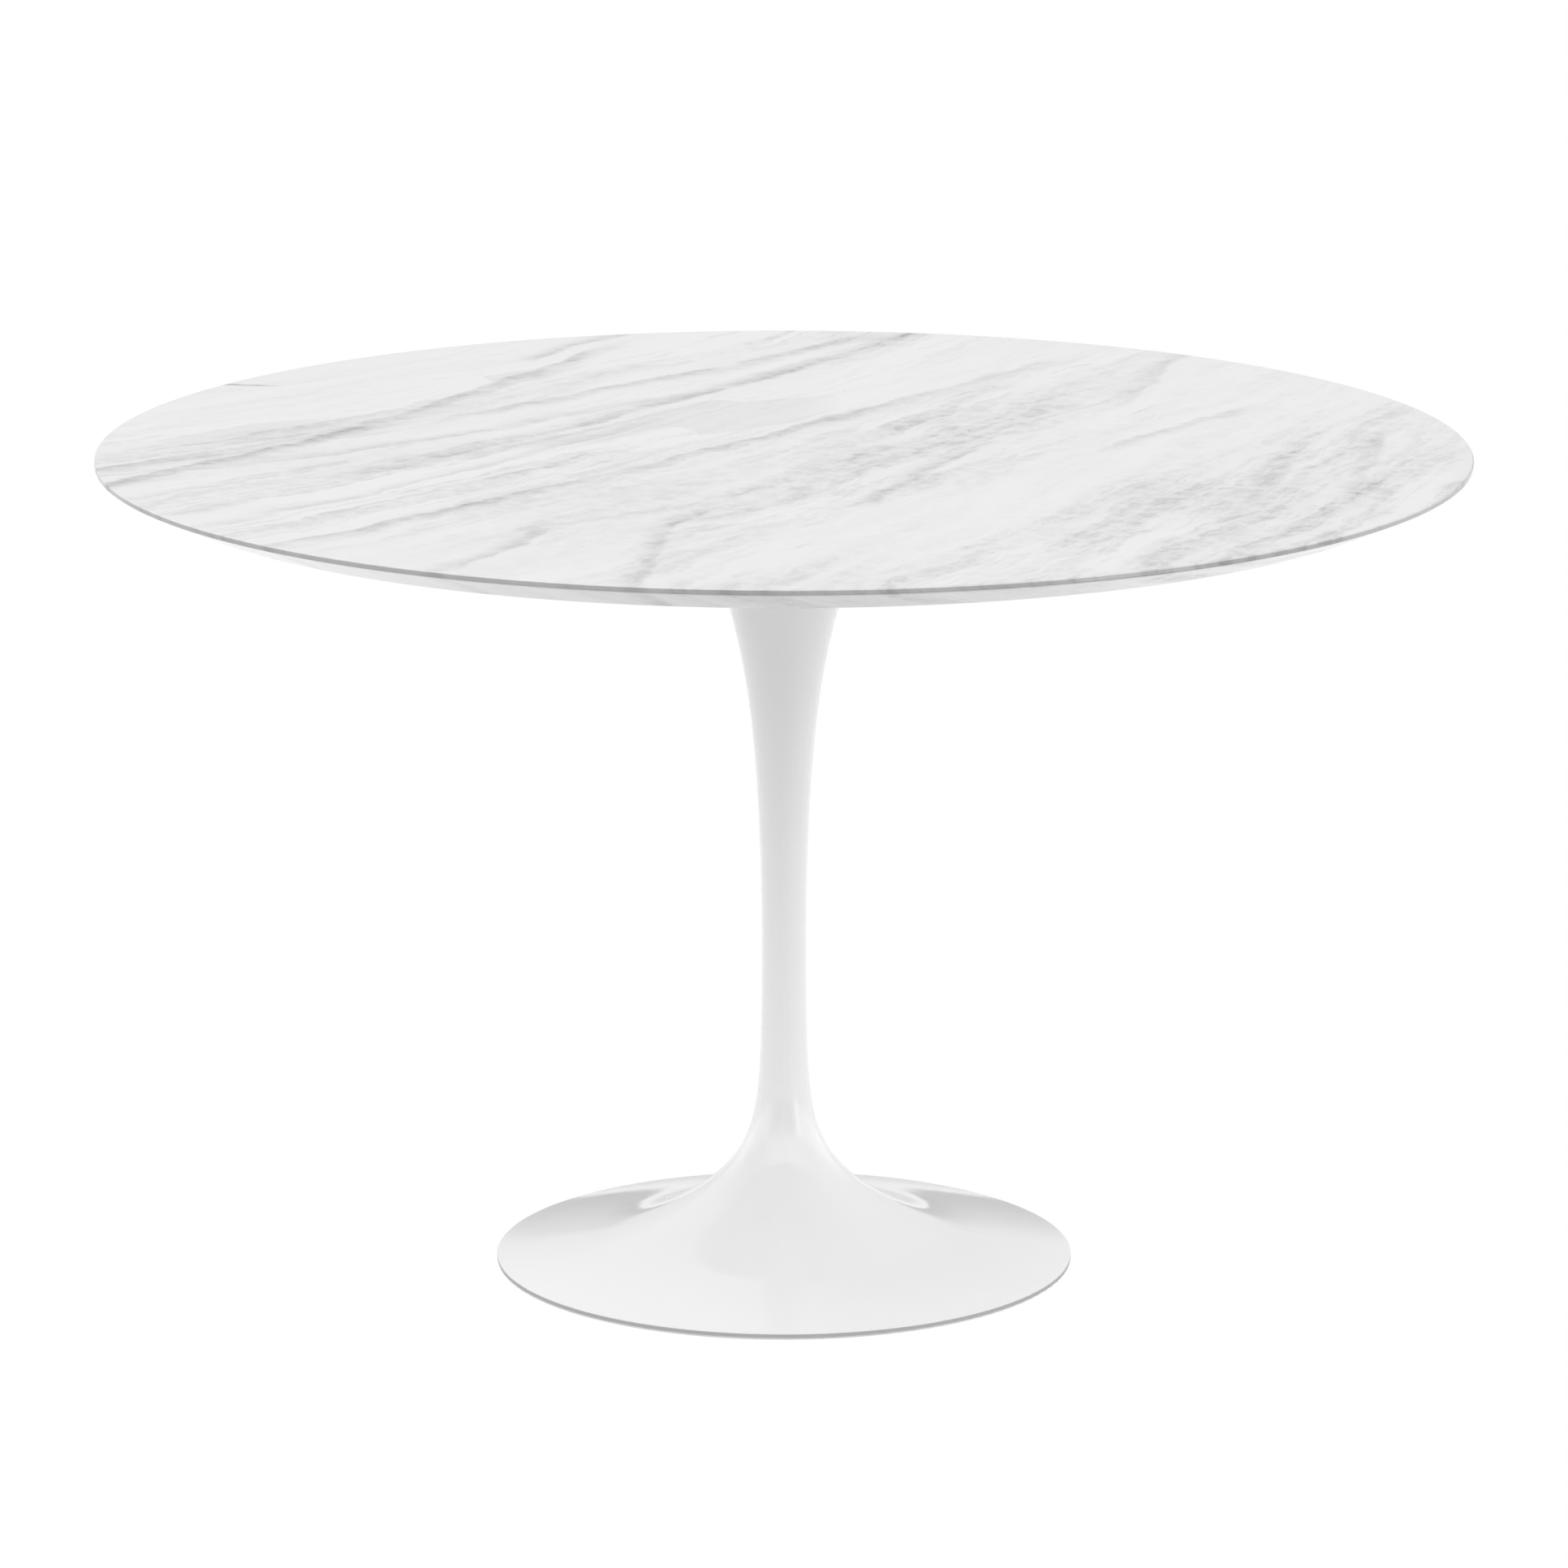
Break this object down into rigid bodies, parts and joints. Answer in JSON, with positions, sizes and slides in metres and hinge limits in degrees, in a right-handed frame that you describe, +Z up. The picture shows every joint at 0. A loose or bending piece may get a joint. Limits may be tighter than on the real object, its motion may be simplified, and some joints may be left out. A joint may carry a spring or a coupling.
{
  "type": "round pedestal dining table",
  "caption": "Round dining table with a bevelled white marble top on a slim, one-piece trumpet-shaped white pedestal.",
  "frame": {"origin": "on the floor, at the middle of the circle that the table stands on", "axes": "+Z up along the pedestal's axis; the table is round, so +X and +Y lie along the arms of the spider under the top"},
  "size_m": [1.1939, 1.194, 0.73],
  "materials": {
    "marble": "polished",
    "white_coating": "satin",
    "spider_iron": "matte",
    "zinc_steel": "satin",
    "spring_steel": "satin",
    "insert_brass": "satin",
    "pad_rubber": "matte",
    "glide_polymer": "matte"
  },
  "bodies": {
    "root": {"stone_top": "marble", "stone_inserts": "insert_brass", "spider_pad": "pad_rubber", "top_spider": "spider_iron", "spider_screws": "zinc_steel", "spider_washers": "zinc_steel", "mouth_gasket": "pad_rubber", "pedestal_casting": "white_coating", "glide_ring": "glide_polymer", "tie_rod": "zinc_steel", "rod_jam_nut": "zinc_steel", "clamp_washer": "zinc_steel", "spring_washer": "spring_steel", "clamp_nut": "zinc_steel"}
  },
  "joints": []
}
